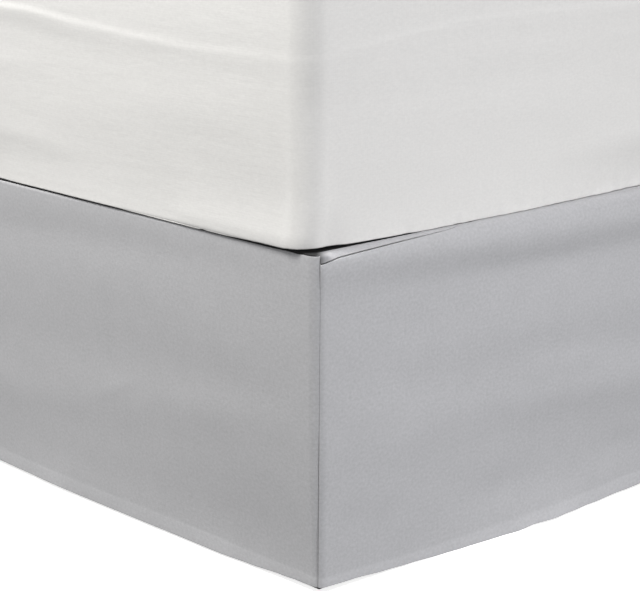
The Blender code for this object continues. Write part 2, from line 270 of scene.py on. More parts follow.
# Polyester ticking on the base: plain weave, off white, dull
ticking = {
    "color": "C9C7C0",
    "lightColor": "D2D0CA",
    "roughness": 0.9,
    "sheen": 0.05,
    "sheenRoughness": 0.5,
    "thread": 2.8 * mm,  # the real thread is about 0.5 mm, drawn as coarse as it can show
    "threadDepth": 0.08 * mm,
    "crumple": (40 * mm, 12 * mm),
    "crumpleDepth": 0.12 * mm,
    "mottle": 50 * mm,
    "mottleShare": 0.3,
    "grain": (3.0 * mm, 2.6 * mm),
    "grainShare": 0.5,
    "grainDepth": 0.06 * mm,
}

# Beech turned and stained dark: satin, with fine straight grain up the leg
stainedBeech = {
    "color": "2E2019",
    "grainColor": "48332A",
    "roughness": 0.42,
    "grainWidth": 3.5 * mm,
    "grainLength": 90 * mm,
    "grainDepth": 0.06 * mm,
}


def threadBands(tree, place, directions, cloth):
    # crossing threads as one height: a wave along each direction, added up
    wavePeriod = 0.314  # of a wave texture at scale 1
    values = {"Scale": wavePeriod / cloth["thread"], "Distortion": 0.5, "Detail": 1.0}
    total = None
    for direction in directions:
        settings = {"bands_direction": direction, "wave_profile": "SIN"}
        wave = addNode(tree, "ShaderNodeTexWave", settings, values, {"Vector": place})
        links = {0: wave.outputs["Fac"]} if total is None else {0: total, 1: wave.outputs["Fac"]}
        total = addNode(tree, "ShaderNodeMath", {"operation": "ADD"}, {1: 0}, links).outputs[0]
    return total


def stretchedNoise(tree, place, size, values):
    # noise whose patches are as long along each axis as size says
    scale = tuple(1 / side for side in size)
    stretched = addNode(tree, "ShaderNodeMapping", (), {"Scale": scale}, {"Vector": place})
    links = {"Vector": stretched.outputs[0]}
    return addNode(tree, "ShaderNodeTexNoise", (), {"Scale": 1.0, **values}, links).outputs["Fac"]


def wovenCloth(name, cloth, sewn):
    # sewn cloth follows its own cut, and a cover's threads run with the sides of the bed
    material, tree, shader = newMaterial(name)
    shader.inputs["Roughness"].default_value = cloth["roughness"]
    shader.inputs["Sheen Weight"].default_value = cloth["sheen"]
    shader.inputs["Sheen Roughness"].default_value = cloth["sheenRoughness"]
    shader.inputs["Specular IOR Level"].default_value = 0.2
    if sewn:
        place = addNode(tree, "ShaderNodeUVMap", {"uv_map": "cloth"}).outputs["UV"]
        directions = ("X", "Y")
    else:
        place = addNode(tree, "ShaderNodeTexCoord").outputs["Object"]
        directions = ("X", "Y", "Z")
    threads = threadBands(tree, place, directions, cloth)

    def patches(wide, high, values):
        size = (wide, high, 1) if sewn else (wide, wide, high)
        return stretchedNoise(tree, place, size, values)

    grain = patches(*cloth["grain"], {"Detail": 2.0, "Roughness": 0.6})
    crumple = patches(*cloth["crumple"], {"Detail": 3.0, "Distortion": 0.3})
    mottle = patches(cloth["mottle"], cloth["mottle"], {"Detail": 5.0, "Roughness": 0.65})
    links = {}
    for height, depth in (
        (threads, cloth["threadDepth"]),
        (grain, cloth["grainDepth"]),
        (crumple, cloth["crumpleDepth"]),
    ):
        values, links = {"Strength": 1.0, "Distance": depth}, {"Height": height, **links}
        bump = addNode(tree, "ShaderNodeBump", (), values, links)
        links = {"Normal": bump.outputs["Normal"]}
    tree.links.new(links["Normal"], shader.inputs["Normal"])
    # what the two shares leave of the range is split evenly, so that its middle stays
    rest = (1 - cloth["mottleShare"] - cloth["grainShare"]) / 2
    settings, links = {"operation": "MULTIPLY_ADD"}, {}
    for pattern, share in ((mottle, cloth["mottleShare"]), (grain, cloth["grainShare"])):
        values, links = {1: share, 2: rest}, {0: pattern, **links}
        links = {2: addNode(tree, "ShaderNodeMath", settings, values, links).outputs[0]}
    values = {"A": linear(cloth["color"]), "B": linear(cloth["lightColor"])}
    colors = addNode(
        tree, "ShaderNodeMix", {"data_type": "RGBA"}, values, {"Factor": links[2]}
    ).outputs["Result"]
    if sewn:
        # a hem is drawn lighter: partly for its doubled cloth, partly a painted highlight for the
        # light the hem band catches
        hem = addNode(tree, "ShaderNodeAttribute", {"attribute_name": "hem"}).outputs["Fac"]
        values = {1: cloth["hemLayerAndHighlight"], 2: 1}
        lighter = addNode(tree, "ShaderNodeMath", settings, values, {0: hem}).outputs[0]
        links = {0: colors, "Scale": lighter}
        lit = addNode(tree, "ShaderNodeVectorMath", {"operation": "SCALE"}, links=links)
        colors = lit.outputs["Vector"]
    tree.links.new(colors, shader.inputs["Base Color"])
    return material


def facedCloth(name, cloth, deckShade):
    # the skirt's cloth round a middle of other cloth, a rounded box in plan, coloured near black as
    # painted shade
    material = wovenCloth(name, cloth, True)
    tree = material.node_tree
    place = addNode(tree, "ShaderNodeUVMap", {"uv_map": "cloth"}).outputs["UV"]
    for operation, values in (
        ("SUBTRACT", {1: deckShade["middle"]}),
        ("ABSOLUTE", {}),
        ("SUBTRACT", {1: deckShade["corner"]}),
        ("MAXIMUM", {1: (0, 0, 0)}),
    ):
        settings = {"operation": operation}
        place = addNode(tree, "ShaderNodeVectorMath", settings, values, {0: place}).outputs[0]
        if operation == "ABSOLUTE":
            fromMiddle = place
    away = addNode(tree, "ShaderNodeVectorMath", {"operation": "LENGTH"}, links={0: place})
    values, links = {1: deckShade["radius"]}, {0: away.outputs["Value"]}
    inside = addNode(tree, "ShaderNodeMath", {"operation": "LESS_THAN"}, values, links)
    # painted shadow: the cloth is darkened round each corner of the mattress, where its shade falls
    values, links = {1: deckShade["rubbed"]}, {0: fromMiddle}
    away = addNode(tree, "ShaderNodeVectorMath", {"operation": "DISTANCE"}, values, links)
    rubbed = addNode(
        tree,
        "ShaderNodeMapRange",
        {"interpolation_type": "SMOOTHSTEP"},
        {
            "From Min": deckShade["rubbedCore"],
            "From Max": deckShade["rubbedReach"],
            "To Min": 1.0,
            "To Max": 0.0,
        },
        {"Value": away.outputs["Value"]},
    )
    links = {0: inside.outputs[0], 1: rubbed.outputs["Result"]}
    dark = addNode(tree, "ShaderNodeMath", {"operation": "MAXIMUM"}, links=links)
    color = tree.nodes["Principled BSDF"].inputs["Base Color"]
    # painted shade: under the mattress and round its corners the cloth is mixed toward near black
    values = {"B": linear(deckShade["color"])}
    links = {"Factor": dark.outputs[0], "A": color.links[0].from_socket}
    colors = addNode(tree, "ShaderNodeMix", {"data_type": "RGBA"}, values, links)
    tree.links.new(colors.outputs["Result"], color)
    return material


def stainedWood(name, wood):
    material, tree, shader = newMaterial(name)
    shader.inputs["Roughness"].default_value = wood["roughness"]
    place = addNode(tree, "ShaderNodeTexCoord").outputs["Object"]
    size = (wood["grainWidth"], wood["grainWidth"], wood["grainLength"])
    grain = stretchedNoise(tree, place, size, {"Detail": 4.0, "Roughness": 0.6})
    values = {"Strength": 1.0, "Distance": wood["grainDepth"]}
    bump = addNode(tree, "ShaderNodeBump", (), values, {"Height": grain})
    values = {"A": linear(wood["color"]), "B": linear(wood["grainColor"])}
    colors = addNode(tree, "ShaderNodeMix", {"data_type": "RGBA"}, values, {"Factor": grain})
    tree.links.new(colors.outputs["Result"], shader.inputs["Base Color"])
    tree.links.new(bump.outputs["Normal"], shader.inputs["Normal"])
    return material


# The deck is of the skirt's cloth as far as it shows, and of spunbonded polypropylene under the
# mattress, matt and plain.
# There it is coloured near black as painted shade, so that the gap under the mattress's edge shows
# dark.
mattressLow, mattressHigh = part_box("mattress")
deckShade = {
    "color": "1C1C1D",
    "radius": 3 * mm,
    "inside": 0.5 * mm,
    # painted shadow round each corner of the mattress, from its core out to its reach
    "rubbedCore": 9 * mm,
    "rubbedReach": 27 * mm,
}
deckShade["middle"] = (*((mattressLow + mattressHigh) / 2).xy, 0)
corner = (mattressHigh - mattressLow).xy / 2
deckShade["corner"] = (*(side - deckShade["inside"] - deckShade["radius"] for side in corner), 1)
deckShade["rubbed"] = (*(corner - Vector((1, 1)) * deckShade["radius"]), 0)

skirtCloth = wovenCloth("brushedMicrofibre", microfibre, True)
# the deck's cloth, with painted shade under the mattress
deckCloth = facedCloth("microfibreWithPaintedShade", microfibre, deckShade)
coverCloth = wovenCloth("cottonPercale", percale, False)
baseCloth = wovenCloth("polyesterTicking", ticking, False)
legWood = stainedWood("stainedBeech", stainedBeech)
print("materials made")


skirt = {
    "touchGap": 0.3 * mm,
    "cloth": 1.2 * mm,
    "hem": 2.4 * mm,
    "sideHem": 18 * mm,
    "drop": 381 * mm,
    "clearOfBase": 3.4 * mm,
    "roll": 10.5 * mm,
    "cornerRadius": 12.5 * mm,
    "seamInset": 1.5 * mm,
    "wrapStart": 0.2,
    "openSeam": 110 * mm,
    "seamOpen": 0.28 * mm,
    "splitHalfGap": 0.08 * mm,
    "deckSplitHalfGap": 0.1 * mm,
    "deckFootHalfGap": 0.03 * mm,
    "hangOut": 0.8 * mm,
    "hangReach": 26 * mm,
    "flareHeight": 62 * mm,
    "hemProud": 0.25 * mm,
    "hemStep": 5 * mm,
    "mostInward": -1.2 * mm,
    "freeDown": 240 * mm,  # below the base the cloth may swing in further
    "freeReach": 50 * mm,
    "freeShare": 3,
    # the split in the front corner lies a little round to the right at its top
    "splitShift": 4.2 * mm,
    "shiftReach": 35 * mm,
    "closedDown": 10 * mm,
    "closedFade": 4 * mm,
    "closedReach": 10 * mm,
    "sideEdge": 0.35 * mm,
    "tuck": 0.3 * mm,
    "tuckReach": 4 * mm,
    "tuckDown": 8 * mm,
    "flatEdge": 0.35 * mm,
    # how closely the cloth is divided, along and down
    "nearReach": 0.7,
    "nearStep": 6 * mm,
    "farStep": 16 * mm,
    "edgeRows": 4,
    "turnRows": 32,
    "turnBelow": 4 * mm,
    "hangingRows": 60,
}

baseLow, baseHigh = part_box("bed_base")
deckTop = baseHigh.z + skirt["touchGap"] + skirt["cloth"]
rimX = baseHigh.x + skirt["clearOfBase"] + skirt["cloth"]
rimY = baseHigh.y + skirt["clearOfBase"] + skirt["cloth"]
headY = baseHigh.y
halfArc = skirt["cornerRadius"] * math.pi / 4
footRim = 2 * (rimX - skirt["cornerRadius"] + halfArc)
sideRim = halfArc + rimY - skirt["cornerRadius"] + headY
rollEnd = skirt["roll"] * math.pi / 2
hemLine = rollEnd + skirt["drop"] - skirt["roll"]

addCamera(Vector((rimX, -rimY, deckTop - skirt["drop"])))

# Bottom edge of each drop. Along runs from the right corner on the foot drop, and
# from the foot corner on the side drops. Rise is the edge's height over its even line,
# flare how far it stands out, and depth how deep the hem is.
HemPoint = namedtuple("HemPoint", "along rise flare depth")
hemEdge = {
    "foot": tableOf(
        HemPoint,
        (0, 5.6, 0, 11.5),
        (0.03, 5.4, 0, 12),
        (0.06, 4, 0.2, 12.5),
        (0.115, 1.8, 1.4, 15),
        (0.165, 1.4, 3.3, 17),
        (0.26, 1.8, 2.4, 18),
        (0.42, 2.2, 1.7, 17.2),
        (0.49, 3.1, 3.5, 17),
        (0.56, 3.3, 2.2, 16.8),
        (0.65, 3.7, 1.4, 16.5),
        (1, -0.8, 5, 17),
        (1.3, 0.8, 2.4, 16),
        (1.51, 0.6, 0, 13),
    ),
    "right": tableOf(
        HemPoint,
        (0, 5.4, 0, 10.5),
        (0.05, 4.2, 0, 11),
        (0.1, 1.4, 0, 11.5),
        (0.135, 0, 0, 12),
        (0.19, -1.2, 2, 12.8),
        (0.22, -1.3, 3.8, 13.6),
        (0.28, -1.4, 6.1, 15),
        (0.31, -1.4, 8.4, 14.6),
        (0.335, 0.3, 8.8, 14.2),
        (0.368, 1.1, 13.4, 14),
        (0.4, 0.6, 9.4, 15),
        (0.44, 0.3, 5.2, 16.2),
        (0.505, 1.3, 1.7, 17.4),
        (0.56, 2.4, 0, 18),
        (0.64, 1.2, 1.2, 17.6),
        (0.95, -0.6, 6, 17),
        (1.4, 1, 3, 16),
        (2.02, 0.4, 2, 17),
    ),
    "left": tableOf(
        HemPoint,
        (0, 1, 0, 13),
        (0.45, -0.8, 7, 17),
        (1, 0.8, 2, 16),
        (1.5, -0.8, 8, 18),
        (2.02, 0.6, 2, 16),
    ),
}

# The seam to the deck lies inside the top edge, but near the foot of the right side
# the deck is pulled out over the edge. Each pair is a length along and one down.
pulledSeam = (
    (0, 16),
    (0.016, 14),
    (0.028, 12),
    (0.063, 10.4),
    (0.124, 8.1),
    (0.2, 5.5),
    (0.31, -14),
)

folds = {
    "foot": tableOf(
        Fold,
        (0.42, 54, 340, 20, 3, -1),
        (0.46, 104, 300, 32, 2, 1),
        (0.54, 90, 120, 50, 0, -1.3),
        (0.16, 128, 100, 40, -2, 1.4),
        (0.44, 190, 260, 34, 3, -1.2),
        (0.46, 262, 220, 30, 8, 1.2),
        (0.355, 226, 50, 10, 24, 0.6),
        (0.17, 214, 120, 26, 5, 1.2),
        (0.09, 345, 120, 60, 0, -4),
        (0.61, 262, 60, 20, -20, 1),
        (0.42, 338, 240, 22, 1, -0.4),
        (0.44, 376, 150, 66, 0, 3.4),
        (0.95, 150, 240, 40, -3, 1.8),
        (1.12, 270, 220, 45, 4, 2),
        (1.36, 190, 120, 50, -8, 1.6),
    ),
    "right": tableOf(
        Fold,
        (0.36, 33, 340, 20, 2, 6.2),
        (0.34, 51, 130, 12, 2, 1.4),
        (0.36, 66, 300, 18, 2, -1.2),
        (0.38, 140, 280, 46, 2, 5),
        (0.44, 234, 220, 32, 4, 6.4),
        (0.4, 197, 80, 18, 3, 2.6),
        (0.08, 185, 45, 25, 0, 2.2),
        (0.085, 290, 45, 22, 0, 2.2),
        (0.28, 330, 60, 22, 0, -2.4),
        (0.5, 325, 35, 22, 0, -2),
        (0.11, 232, 100, 46, -2, 5),
        (0.16, 104, 80, 30, 0, -1.2),
        (0.48, 322, 200, 26, 4, -1.6),
        (0.9, 120, 240, 36, -2, 2),
        (1.05, 250, 260, 44, 3, 2.2),
        (1.48, 160, 220, 40, 3, 1.8),
        (1.7, 280, 200, 46, -4, 2),
    ),
    "left": tableOf(
        Fold,
        (0.26, 140, 240, 32, 3, 2.2),
        (0.4, 260, 220, 40, -4, 2),
        (0.8, 180, 260, 42, 2, 2),
        (1.15, 290, 200, 40, 5, 1.8),
        (1.4, 130, 240, 36, -3, 2.2),
        (1.8, 230, 180, 44, 2, 1.8),
    ),
}


def rimPlan(rim):
    # plan point and outward direction at a length round the rim, from the front corner,
    # positive along the right side, negative along the foot and then the left side
    mirrored = rim < -footRim / 2
    rim = np.where(mirrored, -footRim - rim, rim)
    side = np.where(mirrored, -1.0, 1.0)
    radius = skirt["cornerRadius"]
    turn = np.clip(rim, -halfArc, halfArc) / radius - math.pi / 4
    outX, outY = np.cos(turn), np.sin(turn)
    x = rimX - radius + outX * radius + np.minimum(rim + halfArc, 0)
    y = radius - rimY + outY * radius + np.maximum(rim - halfArc, 0)
    return x * side, y, outX * side, outY


def otherLength(panel, length):
    # a length round the rim as one along the drop from its front corner, and the same back
    if panel == "right":
        return length
    return -length if panel == "foot" else -footRim - length


def standOut(panel, along, down):
    # how far the hanging cloth stands out from the plumb line
    hanging = ease(down / skirt["hangReach"])
    out = (skirt["hangOut"] + foldHeight(folds[panel], along, down)) * hanging
    lower = np.clip(1 - (hemLine - down) / skirt["flareHeight"], 0, None) ** 2
    out = out + alongTable(hemEdge[panel], "flare", along) * mm * lower
    free = ease((down - skirt["freeDown"]) / skirt["freeReach"])
    return np.maximum(out, skirt["mostInward"] * (1 + skirt["freeShare"] * free))


# How the cloth turns over the top edge, from the foot past the front corner to the right
# side: the radius of the turn, and how far the deck reaches round it, in radians
TurnPoint = namedtuple("TurnPoint", "along radius wrap")
topTurn = tableOf(
    TurnPoint,
    (-0.3, 5.5, 0.8),
    (-0.12, 5.5, 0.95),
    (-0.075, 5.5, 0.95),
    (-0.04, 6.5, 0.8),
    (-0.018, 2.2, 1.2),
    (-0.004, 2, 1.1),
    (0.007, 2.5, 0),
    (0.026, 10.5, 0),
)


def clothPoints(panel, rim, down, inward):
    # points of the skirt, down the cloth from the top edge and inward through it
    shift = skirt["splitShift"] * (1 - np.clip(down / hemLine, 0, 1))
    shift = shift * (1 - ease(np.abs(rim) / skirt["shiftReach"]))
    planX, planY, outX, outY = rimPlan(rim + shift)
    radius = alongTable(topTurn, "radius", rim) * mm
    level = skirt["roll"] - radius
    length = 2 * level + radius * math.pi / 2
    turned = np.clip(down / rollEnd, 0, 1) * length - level
    turn = np.clip(turned / radius, 0, math.pi / 2)
    out = radius * (np.sin(turn) - 1) + np.minimum(turned, 0) + np.minimum(down, 0)
    out = out + standOut(panel, otherLength(panel, rim), down) * (down > 0)
    out = out - inward * np.sin(turn)
    straight = np.maximum(turned - radius * math.pi / 2, 0) + np.maximum(down - rollEnd, 0)
    z = deckTop - radius + (radius - inward) * np.cos(turn) - straight
    return np.stack([planX + outX * out, planY + outY * out, z], axis=-1)


def topDown(rim, wrap):
    # a length down the cloth, just inside the turn, or wrap radians round it
    radius = alongTable(topTurn, "radius", rim) * mm
    level = skirt["roll"] - radius
    short = level - skirt["seamInset"] * (1 - ease(wrap / skirt["wrapStart"])) + radius * wrap
    return np.where(short > 0, short * rollEnd / (2 * level + radius * math.pi / 2), short)


def seamDown(panel, along):
    if panel == "right":
        return np.interp(along, *zip(*pulledSeam)) * mm
    rim = otherLength(panel, along)
    return topDown(rim, alongTable(topTurn, "wrap", rim))


def seamHalf(panel, along):
    # half the gap at the seam, which is pulled open near the foot of the right side
    if panel != "right":
        return np.full(np.shape(along), skirt["touchGap"] / 2)
    tight = ease((along - skirt["openSeam"]) / skirt["openSeam"])
    return skirt["touchGap"] / 2 + skirt["seamOpen"] * (1 - tight)


def edgeRecess(toEdge, thickness):
    # how far a face drops toward the middle of the cloth near a rounded edge
    radius = thickness / 2
    short = np.clip(radius - toEdge, 0, radius)
    return radius - np.sqrt(radius**2 - short**2)


def cornerPlaces(farEnd):
    # lengths from a split corner to farEnd, closest together at the split
    edge = [0.0, 0.15, 0.4, 0.8, 1.3, 2.0, 3.0, 4.2, 5.6, 7.2, 9.0, 11.0, 13.0, 15.0]
    hem = [16.0, 16.8, 17.4, 18.0, 18.6, 19.4, 20.5, 22.5, 25.5, 29.5, 35.0]
    near, reach = np.array(edge + hem) * mm, skirt["nearReach"]
    middle = spaced(near[-1], reach, skirt["nearStep"])
    return joinPlaces(near, middle, spaced(reach, farEnd, skirt["farStep"]))


def hemPlaces(start):
    # lengths from the near side of a side hem to the finished edge
    steps = [0.0, 4.0, 8.0, 11.0, 13.4, 14.6, 15.4, 16.0, 16.7, 17.3, 17.7, 18.0]
    return start + np.array(steps) * mm


def dropDowns(seam, hemTop, bottom):
    # lengths down one column, from the seam to the bottom edge
    seamEdge = seam + np.array([0.0, 0.15, 0.4, 0.8, 1.4]) * mm
    rollStart = max(seamEdge[-1] + 0.4 * mm, 0.0)
    rollStop = rollEnd + skirt["turnBelow"]
    hemEdgeRows = hemTop + np.array([-2.6, -1.2, -0.3, 0.5, 1.4, 2.6]) * mm
    lastEdge = bottom - np.array([1.3, 0.8, 0.4, 0.15, 0.0]) * mm
    return joinPlaces(
        seamEdge,
        np.linspace(seamEdge[-1], rollStart, skirt["edgeRows"]),
        np.linspace(rollStart, rollStop, skirt["turnRows"]),
        np.linspace(rollStop, hemEdgeRows[0], skirt["hangingRows"]),
        hemEdgeRows,
        np.linspace(hemEdgeRows[-1], lastEdge[0], skirt["edgeRows"]),
        lastEdge,
    )


def closed(down):
    # 1 at the top of the split, where its edges meet, and 0 further down
    return 1 - ease((down - skirt["closedDown"]) / skirt["closedFade"])


def splitClosing(panel, along, down):
    # the foot drop meets the deck with no gap above its split corner
    if panel != "foot":
        return along
    close = (skirt["splitHalfGap"] - skirt["deckSplitHalfGap"] / 2) * closed(down)
    return along - close * (1 - ease(along / skirt["closedReach"]))


def shellOf(outer, inner):
    # the two faces of a cloth, and the edges at both ends of its grid
    points = np.concatenate([outer.reshape(-1, 3), inner.reshape(-1, 3)])
    outerIndex = np.arange(len(points) // 2).reshape(outer.shape[:2])
    innerIndex = outerIndex + len(points) // 2
    faces = gridFaces(outerIndex) + gridFaces(innerIndex, flip=True)
    faces += stripFaces(outerIndex[0], innerIndex[0]) + stripFaces(outerIndex[-1], innerIndex[-1])
    return points, faces, outerIndex, innerIndex


def markHem(piece, inHem):
    # how far each point of the cloth lies in the hem, for the material
    marks = piece.data.attributes.new("hem", "FLOAT", "POINT")
    marks.data.foreach_set("value", inHem.astype(np.float32))


def addDrop(name, node, panel, places):
    # places run from one side edge of the panel to the other
    seam = seamDown(panel, places) + seamHalf(panel, places)
    bottom = hemLine - alongTable(hemEdge[panel], "rise", places) * mm
    depth = alongTable(hemEdge[panel], "depth", places) * mm
    downs = np.array([dropDowns(*ends) for ends in zip(seam, bottom - depth, bottom)])
    seam, bottom, depth = seam[:, None], bottom[:, None], depth[:, None]
    along = np.broadcast_to(places[:, None], downs.shape)
    toSide = np.minimum(along - places[0], places[-1] - along)
    toBottom = bottom - downs
    step = skirt["hemStep"]
    inHem = ease((depth - toBottom) / step + 0.5)
    inSideHem = ease((skirt["sideHem"] - toSide) / step + 0.5)
    pressed = ease((downs - rollEnd / 4) / rollEnd)
    doubled = np.maximum(inHem, inSideHem) * pressed
    thickness = skirt["cloth"] + (skirt["hem"] - skirt["cloth"]) * doubled
    proud = skirt["hemProud"] * inHem * pressed
    recess = edgeRecess(toSide, 2 * skirt["sideEdge"]) * (1 - closed(downs))
    recess = np.maximum(recess, edgeRecess(toBottom, thickness))
    recess = np.maximum(recess, edgeRecess(downs - seam, skirt["cloth"]))
    tuck = 0.0
    if panel != "foot":
        tuck = skirt["tuck"] * (1 - ease(along / skirt["tuckReach"]))
        tuck = tuck * ease((downs - seam) / skirt["tuckDown"])
    rim = otherLength(panel, splitClosing(panel, along, downs))
    outer = clothPoints(panel, rim, downs, recess - proud + tuck)
    inner = clothPoints(panel, rim, downs, thickness - proud - recess + tuck)
    points, faces, outerIndex, innerIndex = shellOf(outer, inner)
    faces += stripFaces(outerIndex[:, 0], innerIndex[:, 0])
    faces += stripFaces(outerIndex[:, -1], innerIndex[:, -1])
    uvs = np.stack([along, -downs], axis=-1).reshape(-1, 2)
    piece = addMesh(name, points, faces, skirtCloth, np.concatenate([uvs, uvs]))
    markHem(piece, np.tile(inHem.ravel(), 2))
    standFor(piece, node)
    return piece


def sidePlaces(gap):
    # lengths along a side drop, from its split corner to its hemmed head end
    sideEdge = sideRim - skirt["sideHem"]
    return joinPlaces(gap + cornerPlaces(sideEdge - gap), hemPlaces(sideEdge))


def footPlaces(gap):
    # lengths across the foot drop, from split corner to split corner
    half = gap + cornerPlaces(footRim / 2 - gap)
    return joinPlaces(half, footRim - half[::-1])


def addDrops():
    gap = skirt["splitHalfGap"]
    side = sidePlaces(gap)
    right = addDrop("dropRight", "drop_right", "right", side)
    foot = addDrop("dropFoot", "drop_foot", "foot", footPlaces(gap))
    left = addDrop("dropLeft", "drop_left", "left", side)


def addDeck():
    # a flat panel whose border follows the rim, and lies over it where it is pulled out
    side, foot = sidePlaces(skirt["deckSplitHalfGap"]), footPlaces(skirt["deckFootHalfGap"])
    parts = np.array([0, 0.2, 0.4, 0.55, 0.68, 0.8, 0.9, 0.96, 0.99, 1.0])
    outer, inner = [], []
    for panel, places in (("left", side[::-1]), ("foot", foot[::-1]), ("right", side)):
        rim = otherLength(panel, places)
        seam = seamDown(panel, places) - seamHalf(panel, places)
        inside = np.minimum(seam, topDown(rim, 0)) - skirt["flatEdge"]
        downs = inside[:, None] + (seam - inside)[:, None] * parts
        recess = edgeRecess(seam[:, None] - downs, skirt["cloth"]) * (panel == "right")
        outer.append(clothPoints(panel, rim[:, None], downs, recess))
        inner.append(clothPoints(panel, rim[:, None], downs, skirt["cloth"] - recess))
    points, faces, outerIndex, innerIndex = shellOf(np.concatenate(outer), np.concatenate(inner))
    faces += stripFaces(outerIndex[:, -1], innerIndex[:, -1])
    faces += [outerIndex[:, 0].tolist(), innerIndex[::-1, 0].tolist()]
    faces += stripFaces(outerIndex[[0, -1], 0], innerIndex[[0, -1], 0])
    deck = addMesh("deckPanel", points, faces, deckCloth, points[:, :2])
    standFor(deck, "skirt_deck")


addDeck()
addDrops()
print("skirt made")


# The mattress and the base are rounded boxes, built up level by level
keptRadius = 2 * mm  # of each corner, however far in a level lies


def boxSize(low, high):
    size = high - low
    return {
        "width": size.x,
        "length": size.y,
        "height": size.z,
        "middle": (low + high) / 2,
        "bottom": low.z,
    }


def boxRound(box):
    # the whole length round a rounded box in plan
    return 2 * (box["width"] + box["length"]) - (8 - 2 * math.pi) * box["radius"]


def boxPlan(box, around):
    # plan points at the side faces and outward directions, at lengths round the box from
    # the middle of its front right corner, toward the head along the right side first
    radius = box["radius"]
    arc = radius * math.pi / 2
    halfX, halfY = box["width"] / 2 - radius, box["length"] / 2 - radius
    around = np.mod(around + arc / 2, boxRound(box))
    x, y, outX, outY = (np.zeros(around.shape) for _ in range(4))
    start = 0.0
    for index, (signX, signY) in enumerate(((1, -1), (1, 1), (-1, 1), (-1, -1))):
        straight = 2 * (halfX if index % 2 else halfY)
        turn = (index - 1) * math.pi / 2 + np.clip(around - start, 0, arc) / radius
        beyond = np.clip(around - start - arc, 0, straight)
        here = around >= start
        x = np.where(here, signX * halfX + radius * np.cos(turn) - beyond * np.sin(turn), x)
        y = np.where(here, signY * halfY + radius * np.sin(turn) + beyond * np.cos(turn), y)
        outX, outY = np.where(here, np.cos(turn), outX), np.where(here, np.sin(turn), outY)
        start += arc + straight
    return x, y, outX, outY


def boxPlaces(box):
    # lengths round the box, close together near the front right corner and on each corner
    arc, fine = box["radius"] * math.pi / 2, box["fineReach"]
    sideX, sideY = box["width"] - 2 * box["radius"], box["length"] - 2 * box["radius"]
    places = joinPlaces(
        spaced(0, fine, box["fineStep"]), spaced(fine, arc / 2 + sideY, box["step"])
    )
    for straight in (sideX, sideY, sideX + arc / 2 - fine):
        start = places[-1] + arc
        turn = spaced(places[-1], start, box["arcStep"])
        places = joinPlaces(places, turn, spaced(start, start + straight, box["step"]))
    return joinPlaces(places, spaced(places[-1], places[-1] + fine, box["fineStep"]))[:-1]


def addPaddedBox(name, box, places, insets, heights, out, material):
    # insets, heights and out hold one value for each level, or for each place and level
    insets, heights, out = np.broadcast_arrays(insets, heights, out)
    mostNear = box["radius"] - keptRadius
    planX, planY, outX, outY = (values[:, None] for values in boxPlan(box, places))
    near = np.minimum(insets, mostNear)
    beyond = insets - near
    halfX, halfY = box["width"] / 2 - mostNear, box["length"] / 2 - mostNear
    x = (planX - outX * (near - out)) * (1 - beyond / halfX) + box["middle"].x
    y = (planY - outY * (near - out)) * (1 - beyond / halfY) + box["middle"].y
    points = np.stack([x, y, heights + box["bottom"]], axis=-1)
    index = np.arange(heights.size).reshape(heights.shape)
    index = np.concatenate([index, index[:1]])
    faces = gridFaces(index) + [index[:-1, 0].tolist(), index[:-1, -1].tolist()]
    return addMesh(name, points.reshape(-1, 3), faces, material)


mattress = {
    **boxSize(mattressLow, mattressHigh),
    "radius": 30 * mm,
    "topRadius": 40 * mm,
    "crown": 6 * mm,
    "crownReach": 0.4,
    "sideInset": 3.3 * mm,
    "rightInset": 2.0 * mm,
    "bow": 1.5 * mm,
    "cornerBulge": 6 * mm,
    "bulgeWidth": 21 * mm,
    "bulgeHeight": 0.18,
    "turnUnder": 5 * mm,
    "turnUnderPlace": 22 * mm,
    "turnUnderWidth": 26 * mm,
    "turnUnderHeight": 46 * mm,
    "turnUnderCurve": 1.5,
    "fineReach": 0.62,
    "fineStep": 3 * mm,
    "arcStep": 4 * mm,
    "step": 24 * mm,
    "turnReach": 30 * mm,
    "flare": 4.0 * mm,
    "flareHeight": 60 * mm,
    "rightFlare": 0.5,
    # near the front corner the foot side swells and turns in again at its lower edge
    "belly": 2 * mm,
    "bellyHeight": 13 * mm,
    "bellyReach": 0.24,
    "bellyFade": 60 * mm,
    "bellyTurn": 0.75,
    "flareTurn": 0.1,
    "inwardHeight": 70 * mm,
    "liftHeight": 80 * mm,
    "liftInset": 0.14,
    # the ridge where the padding changes, and the step in the right side under it
    "ridgeBelow": 15 * mm,
    "ridgeAbove": 5 * mm,
    "paddingStep": 1.2 * mm,
    "stepHeight": 150 * mm,
    "stepReach": 45 * mm,
    # gathers at the lower edge of the right side, and the cover's small unevenness
    "pucker": Noise(0.9, 11, 20, 5),
    "puckerHeight": 12 * mm,
    "puckerStart": 70 * mm,
    "puckerFade": 50 * mm,
    "crumple": Noise(0.10, 55, 8, 11),
    "uneven": Noise(0.35, 160, 45, 12, 7),
    "smoothCorner": 0.12,
    "wrinkle": Noise(0.8, 210, 160, 21),
    "wrinkleReach": 0.46,
    "wrinkleFade": 0.2,
    "topFade": 50 * mm,
    "underFade": 30 * mm,
    # the levels that the cover is divided into
    "underInsets": np.array([145, 90, 50, 26, 14, 8]) * mm,
    "lowHeights": np.array([4.4, 6, 8, 10.5, 13.5, 17, 21, 26]) * mm,
    "fineHeights": (0.186, 0.242),
    "heightSteps": (5 * mm, 2.5 * mm, 6 * mm),
    "turnLevels": 11,
    "topInsets": np.array([55, 80, 120, 180, 260, 360, 460, 560, 660]) * mm,
}

